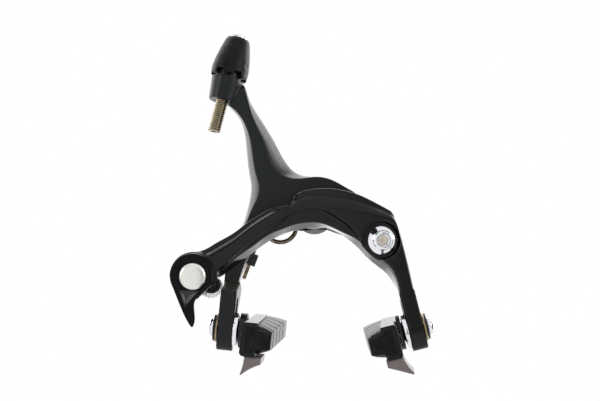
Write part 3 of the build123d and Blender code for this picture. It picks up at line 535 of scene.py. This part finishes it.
def forged_copy(name, node_name, body, voxel, passes, finish, soft_places=()):
    """A new piece from a solid, with the rounded edges of a forging.

    voxel is the size of the even squares in metres. soft_places are (x, z, radius, passes): round
    places in the front view, in millimetres, that are smoothed further.
    """
    mesh = bmesh.new()
    mesh.from_mesh(nodes[node_name].data)
    bmesh.ops.remove_doubles(mesh, verts=mesh.verts, dist=same_place)
    data = bpy.data.meshes.new(name + "_blank")
    mesh.to_mesh(data)
    mesh.free()
    blank = bpy.data.objects.new(name + "_blank", data)
    bpy.context.scene.collection.objects.link(blank)
    grid = blank.modifiers.new("grid", "REMESH")
    grid.mode = "VOXEL"
    grid.voxel_size = voxel
    relax = blank.modifiers.new("relax", "SMOOTH")
    relax.factor = 0.5
    relax.iterations = passes
    view = bpy.context.evaluated_depsgraph_get()
    shaped = bpy.data.meshes.new_from_object(blank.evaluated_get(view))
    bpy.data.objects.remove(blank)
    mesh = bmesh.new()
    mesh.from_mesh(shaped)
    for x, z, radius, more in soft_places:
        near = [
            vert for vert in mesh.verts
            if (vert.co.x / MM - x) ** 2 + (vert.co.z / MM - z) ** 2 < radius ** 2
        ]
        for _ in range(more):
            bmesh.ops.smooth_vert(
                mesh, verts=near, factor=0.5, use_axis_x=True, use_axis_y=True, use_axis_z=True,
            )
    mesh.to_mesh(shaped)
    mesh.free()
    shaped.name = name
    return finished(name, shaped, body, node_name, finish)


# The front arm flows into the lever's boss and into the end of its crown's rib; the rear arm into the
# adjuster's seat, most of all in the notch beside it, and into the step on its left leg.
lever_x, lever_z = -48.8, -21.1
arm_voxel, lever_voxel, knob_voxel = 0.00034, 0.00024, 0.00022
front_arm_flows = ((lever_x, lever_z, 11.0, 8), (-8.5, 9.5, 4.5, 18))
rear_arm_flows = ((-27.0, 53.0, 5.5, 16), (-25.6, 53.5, 3.0, 60), (-31.0, -27.5, 3.0, 8))
forged_copy(
    "front_arm", "c_arm", "c_arm", arm_voxel, passes=6, finish=gloss_black, soft_places=front_arm_flows,
)
rear_arm = forged_copy(
    "rear_arm", "y_arm", "y_arm", arm_voxel, passes=4, finish=satin_black, soft_places=rear_arm_flows,
)
ledge_left, ledge_right, ledge_low, ledge_high = -37.5, -28.5, -30.0, -22.0
least_upward, least_forward = 0.45, 0.05
rear_arm.data.materials.append(ledge_painted_highlight)
# The step's upward and forward faces take the lighter black, a painted highlight.
for face in rear_arm.data.polygons:
    x, z = face.center.x / MM, face.center.z / MM
    on_ledge = ledge_left < x < ledge_right and ledge_low < z < ledge_high
    if on_ledge and face.normal.z > least_upward and face.normal.y < -least_forward:
        face.material_index = 1
forged_copy(
    "adjuster_grip", "adjuster_knob", "adjuster_knob", knob_voxel, passes=3, finish=knob_black,
)

# %% [markdown]
# The quick-release lever is die cast: a ring round the cap, and from it a tail that thins toward its tip.
# Between ring and tail the casting has a shallow three-cornered hollow. The copy's front face is pressed
# back there, smoothly, so the hollow's sides catch light, and its forward faces get a lighter black: a
# painted highlight.

# %% Quick-release lever
lever = forged_copy(
    "release_lever", "qr_lever", "qr_lever", lever_voxel, passes=5, finish=lever_black,
)
hollow = [Vector(corner) for corner in ((-54.4, -26.2), (-52.4, -32.6), (-46.6, -26.9))]
hollow_depth, hollow_run, front_zone = 0.9, 1.6, 2.0
facing_forward = 0.3
lever_front = min(vert.co.y for vert in lever.data.vertices)


def clamped(share):
    """A share kept between 0 and 1."""
    return min(max(share, 0.0), 1.0)


def eased(share):
    """A share from 0 to 1 that starts and ends softly."""
    share = clamped(share)
    return share * share * (3.0 - 2.0 * share)


def inside_hollow(x, z):
    """How far a place lies inside the hollow's three sides, in millimetres."""
    away = []
    for start, end in zip(hollow, hollow[1:] + hollow[:1]):
        along = (end - start).normalized()
        away.append(along.x * (z - start.y) - along.y * (x - start.x))
    return min(away)


for vert in lever.data.vertices:
    if vert.co.y < lever_front + front_zone * MM:
        share = inside_hollow(vert.co.x / MM, vert.co.z / MM) / hollow_run
        vert.co.y += eased(share) * hollow_depth * MM
lever.data.update()
# The hollow's forward faces take the lighter black, a painted highlight.
lever.data.materials.append(lever_painted_highlight)
for face in lever.data.polygons:
    in_hollow = inside_hollow(face.center.x / MM, face.center.z / MM) > 0.0
    if in_hollow and face.normal.y < -facing_forward:
        face.material_index = 1

# %% [markdown]
# Turned pieces come off a lathe, and so do these: one outline from the axis outward, spun once round.
# The lever's cap is the first: a low disc with a rolled edge, pressed into the lever's ring.

# %% Turned pieces
smooth_turn, small_turn = 96, 64


def turned(outline, steps, climb=0.0, meet=0.001):
    """An outline of (radius, height) points spun once round the z axis, climbing while it turns.

    Points that come to lie within meet of each other, in millimetres, become one.
    """
    mesh = bmesh.new()
    verts = [mesh.verts.new((radius, 0.0, height)) for radius, height in outline]
    edges = [mesh.edges.new(pair) for pair in zip(verts, verts[1:])]
    bmesh.ops.spin(
        mesh, geom=verts + edges, cent=(0.0, 0.0, 0.0), axis=(0.0, 0.0, 1.0),
        dvec=(0.0, 0.0, climb / steps), angle=tau, steps=steps, use_merge=climb == 0.0,
    )
    bmesh.ops.remove_doubles(mesh, verts=mesh.verts, dist=meet)
    return mesh


def settled(mesh, name, frame_matrix):
    """Puts a mesh made in its own millimetres in its place."""
    bmesh.ops.transform(mesh, matrix=frame_matrix, verts=mesh.verts)
    mesh.normal_update()
    bmesh.ops.recalc_face_normals(mesh, faces=mesh.faces)
    data = bpy.data.meshes.new(name)
    mesh.to_mesh(data)
    mesh.free()
    return data


def crisp(piece, width, angle):
    """A fine bevel, in millimetres, on edges sharper than an angle, with shading that follows it."""
    edge_break = piece.modifiers.new("edge_break", "BEVEL")
    edge_break.width = width * MM
    edge_break.segments = 3
    edge_break.limit_method = "ANGLE"
    edge_break.angle_limit = radians(angle)
    shading = piece.modifiers.new("shading", "WEIGHTED_NORMAL")
    shading.keep_sharp = True


forward_turn = Matrix.Rotation(radians(90), 4, "X")
cap_back, cap_front, cap_radius = 36.55, 38.35, 5.35
cap_outline = (
    (0.0, cap_back), (cap_radius - 0.1, cap_back), (cap_radius, cap_back + 0.15),
    (cap_radius, cap_front - 0.95), (cap_radius - 0.1, cap_front - 0.78),
    (cap_radius - 0.72, cap_front - 0.16), (cap_radius - 0.95, cap_front - 0.07),
    (cap_radius - 3.2, cap_front), (0.0, cap_front + 0.02),
)
cap_frame = placed((lever_x, lever_z, 0.0)) @ forward_turn
cap_data = settled(turned(cap_outline, smooth_turn), "lever_cap", cap_frame)
finished("lever_cap", cap_data, "qr_lever", "qr_cap", cap_silver)

# %% [markdown]
# The offset pivot bolt is a chrome screw with a wide dished flange and a round head with a 4 mm hex
# socket. The lathe leaves the head open as a ring. That ring's loop is drawn in onto a hexagon, the
# hexagon is pushed down for the socket's walls, and the drill's cone makes the floor.

# %% Offset pivot bolt
pivot_x, pivot_z = 26.2, -10.8
shank, flange, head, socket = 3.0, 5.8, 3.8, 4.0
shank_back, flange_back, flange_front, head_front = 2.0, 28.3, 29.8, 32.6
socket_depth, drill_tip = 2.4, 0.6
hex_turn, hex_half = radians(11.25), radians(30)
bolt_outline = (
    (0.0, shank_back), (shank, shank_back), (shank, flange_back), (flange - 0.1, flange_back),
    (flange, flange_back + 0.15), (flange, flange_front - 0.75), (flange - 0.06, flange_front - 0.62),
    (head + 0.3, flange_front + 0.1), (head, flange_front + 0.3), (head, head_front - 0.5),
    (head - 0.12, head_front - 0.18), (head - 0.45, head_front),
    (socket / 2 / cos(hex_half) + 0.35, head_front),
)
bolt = turned(bolt_outline, smooth_turn)


def drawn_in(mesh, edges, shape):
    """Extrudes a loop of edges and moves each new point by a rule; gives the new loop."""
    made = bmesh.ops.extrude_edge_only(mesh, edges=edges)["geom"]
    for vert in made:
        if isinstance(vert, bmesh.types.BMVert):
            vert.co = shape(vert.co)
    mesh.normal_update()
    return [edge for edge in made if isinstance(edge, bmesh.types.BMEdge) and edge.is_boundary]


def onto_hexagon(co):
    """The place of a point of the head's ring on the hexagon."""
    around = (atan2(co.y, co.x) - hex_turn) % (2 * hex_half) - hex_half
    reach = socket / 2 / cos(around) / Vector((co.x, co.y)).length
    return Vector((co.x * reach, co.y * reach, co.z))


rim = [edge for edge in bolt.edges if edge.is_boundary]
mouth = drawn_in(bolt, rim, onto_hexagon)
foot_loop = drawn_in(bolt, mouth, lambda co: co - Vector((0.0, 0.0, socket_depth)))
socket_floor = bmesh.ops.holes_fill(bolt, edges=foot_loop, sides=len(foot_loop))["faces"]
drilled = bmesh.ops.poke(bolt, faces=socket_floor)
bmesh.ops.translate(bolt, vec=(0.0, 0.0, -drill_tip), verts=drilled["verts"])
# The drilled floor takes the light warm colour, a painted reflection.
for face in drilled["faces"]:
    face.material_index = 1
# The socket's walls take the dark finish: painted shade, where the walls mirror each other in the recess.
wall_reach, wall_edge = socket * 0.58, 0.1
for face in bolt.faces:
    middle = face.calc_center_median()
    above_floor = middle.z > head_front - socket_depth + wall_edge
    if above_floor and Vector((middle.x, middle.y)).length < wall_reach:
        face.material_index = 2 if middle.z < head_front - wall_edge else 0
bolt_data = settled(bolt, "pivot_screw", placed((pivot_x, pivot_z, 0.0)) @ forward_turn)
pivot_screw = finished("pivot_screw", bolt_data, "bracket", "offset_pivot_bolt", chrome)
# Second finish: the socket floor's painted reflection; third: the walls' painted shade.
pivot_screw.data.materials.append(socket_painted_reflection)
pivot_screw.data.materials.append(dark_steel_and_painted_shade)
crisp(pivot_screw, width=0.05, angle=40)

# %% [markdown]
# The barrel adjuster's screw has a rolled M5 x 0.8 thread. One side of the thread, a row of teeth along
# the axis, is spun once round while it climbs one pitch, so every tooth meets the next: a true helix.
# Two cuts square off its ends, each end is drawn in to the bore of the cable, and the flat behind it is
# the key that stops it turning in the arm. A bright ferrule on top takes the end of the cable's housing.

# %% Adjuster screw
pitch, crest, root, bore = 0.8, 2.55, 2.1, 1.1
screw_top, screw_foot, flat_place, bore_depth = 7.0, -22.3, 2.15, 5.0
spare_teeth, thread_turn = 2, 48
tooth_profile = (
    (root, 0.0), (root + 0.03, 0.1), (crest - 0.04, 0.34), (crest, 0.42), (crest - 0.04, 0.5),
    (root + 0.03, 0.74),
)
teeth = int((screw_top - screw_foot) / pitch) + 2 * spare_teeth
row = [
    (radius, screw_foot - spare_teeth * pitch + tooth * pitch + height)
    for tooth in range(teeth) for radius, height in tooth_profile
]
screw = turned(row, thread_turn, climb=pitch, meet=0.01)
bmesh.ops.recalc_face_normals(screw, faces=screw.faces)


def cut_off(mesh, place, outward):
    """Cuts a mesh at a plane and throws away what lies beyond it."""
    everything = mesh.verts[:] + mesh.edges[:] + mesh.faces[:]
    bmesh.ops.bisect_plane(mesh, geom=everything, plane_co=place, plane_no=outward, clear_outer=True)


def onto_bore(co):
    """The place of a point of the screw's end on the rim of its bore."""
    reach = bore / Vector((co.x, co.y)).length
    return Vector((co.x * reach, co.y * reach, co.z))


cut_off(screw, (0.0, 0.0, screw_top), (0.0, 0.0, 1.0))
cut_off(screw, (0.0, 0.0, screw_foot), (0.0, 0.0, -1.0))
level = 0.01
for height, inward in ((screw_top, -bore_depth), (screw_foot, bore_depth)):
    end_loop = [
        edge for edge in screw.edges
        if edge.is_boundary and all(abs(vert.co.z - height) < level for vert in edge.verts)
    ]
    bore_rim = drawn_in(screw, end_loop, onto_bore)
    bore_end = drawn_in(screw, bore_rim, lambda co: co + Vector((0.0, 0.0, inward)))
    bmesh.ops.holes_fill(screw, edges=bore_end, sides=len(bore_end))
cut_off(screw, (0.0, flat_place, 0.0), (0.0, 1.0, 0.0))
bmesh.ops.holes_fill(screw, edges=[edge for edge in screw.edges if edge.is_boundary])
adjuster_seat, adjuster_lean, adjuster_pitch = (-32.2, 56.5, 15.8), 16.8, -12.5
adjuster_frame = placed(adjuster_seat, adjuster_lean, pitch=adjuster_pitch)
screw_data = settled(screw, "adjuster_screw", adjuster_frame)
finished("adjuster_screw", screw_data, "adjuster_bolt", "adjuster_bolt", thread_gold)
ferrule_outline = (
    (2.2, 6.4), (3.4, 6.4), (3.4, 18.5), (3.32, 18.8), (3.1, 19.02), (2.85, 19.05), (2.7, 18.85),
    (2.7, 11.4), (1.15, 11.1), (1.15, 6.9), (2.2, 6.4),
)
ferrule_data = settled(turned(ferrule_outline, small_turn), "adjuster_ferrule", adjuster_frame)
finished("adjuster_ferrule", ferrule_data, "adjuster_bolt", "adjuster_bolt", chrome, hides=False)

# %% [markdown]
# A brake pad is moulded rubber: a root in the holder's channel, a neck between the holder's lips and a
# tread that tapers to the braking face. Its front end is rounded down so that it doesn't catch the rim,
# and its grooves are S shaped. The block is a loft of sections along the shoe: where a groove
# runs, the sections end short of the face. Then everything past the lips is drawn forward in an S.

# %% Brake pads
root_half, neck_half, root_back, lip, lip_wall = 4.85, 3.65, 1.95, 6.2, 1.6
tread_shares = (0.0, 0.15, 0.3, 0.42, 0.54, 0.66, 0.8, 1.0)
tread_flare, tread_face, tread_belly = 5.7, 3.3, 0.9
rise_at_lip = 0.35


def pad_ring(mesh, along, reach, flare, face, rise):
    """One section of the rubber at a place along the shoe, as a loop of edges."""
    half = [
        (root_back, root_half, 0.0), (lip - lip_wall, root_half, 0.0),
        (lip - lip_wall, neck_half, 0.0), (lip, neck_half, 0.0),
    ]
    for share in tread_shares:
        taper = flare + (face - flare) * share + tread_belly * share * (1.0 - share)
        lift = rise * (rise_at_lip + (1.0 - rise_at_lip) * share)
        half.append((lip + (reach - lip) * share, taper, lift))
    upper = [(x, middle + height) for x, height, middle in half]
    lower = [(x, middle - height) for x, height, middle in half]
    ring = [mesh.verts.new((x, along, z)) for x, z in upper + lower[::-1]]
    return [mesh.edges.new(pair) for pair in zip(ring, ring[1:] + ring[:1])]


shoe_front, shoe_rear = -27.5, 25.85
front_reach, rear_reach, rear_rise = 11.65, 14.15, 1.7
groove_places, groove_half, groove_floor, groove_wall = (-17.6, -6.6, 4.4, 15.4), 0.8, 7.6, 0.08
bend_start, bend_run, bend_throw, bend_ends = 7.2, 3.4, 4.2, 7.0
front_round = ((0.0, 3.6, 2.5), (1.2, 4.5, 2.9), (3.2, 5.3, 3.2), (6.0, tread_flare, tread_face))
stations = [(shoe_front + away, flare, face, False) for away, flare, face in front_round]
for groove_place in groove_places:
    for away, grooved in (
        (-groove_half, False), (-groove_half + groove_wall, True),
        (groove_half - groove_wall, True), (groove_half, False),
    ):
        stations.append((groove_place + away, tread_flare, tread_face, grooved))
stations.append((shoe_rear, 5.6, tread_face, False))


def modelled_pad(side, base):
    """The rubber of one shoe, from stations along it to its place in the holder."""
    mesh = bmesh.new()
    rings = []
    for along, flare, face, grooved in stations:
        share = (along - shoe_front) / (shoe_rear - shoe_front)
        reach = groove_floor if grooved else front_reach + (rear_reach - front_reach) * share
        rings.append(pad_ring(mesh, along, reach, flare, face, rear_rise * share))
    bmesh.ops.contextual_create(mesh, geom=rings[0])
    bmesh.ops.contextual_create(mesh, geom=rings[-1])
    for near_ring, far_ring in zip(rings, rings[1:]):
        bmesh.ops.bridge_loops(mesh, edges=near_ring + far_ring)
    for vert in mesh.verts:
        bend = eased((vert.co.x - bend_start) / bend_run)
        from_front = clamped((vert.co.y - shoe_front) / bend_ends)
        from_rear = clamped((shoe_rear - vert.co.y) / bend_ends)
        vert.co.y -= bend_throw * bend * from_front * from_rear
    data = settled(mesh, side + "_pad", base)
    pad = finished(side + "_pad", data, side + "_shoe", side + "_brake_pad", pad_rubber)
    crisp(pad, width=0.28, angle=35)


def along_leg(foot, lean, across, up):
    """A place on a leg from its foot: across to the right and up along it."""
    turn = radians(lean)
    return (foot[0] + across * cos(turn) + up * sin(turn), foot[1] - across * sin(turn) + up * cos(turn))


# For each shoe: the foot of its leg, the leg's lean, the shoe's toe-in and pitch, and how far the
# washers hold the shoe's back off the leg's middle.
bolt_rise, leg_middle = 1.1, 26.3
shoes = {
    "left": ((-37.3, -44.0), 8.6, -2.9, -0.5, 8.0),
    "right": ((37.8, -47.6), -11.5, -3.1, -1.6, 6.8),
}
for side, (foot, lean, toe, shoe_pitch, stack) in shoes.items():
    x, z = along_leg(foot, lean, 0.0, bolt_rise)
    shift = Matrix.Translation((stack, 0.0, -bolt_rise))
    modelled_pad(side, placed((x, z, leg_middle), lean, toe, shoe_pitch, side == "right") @ shift)
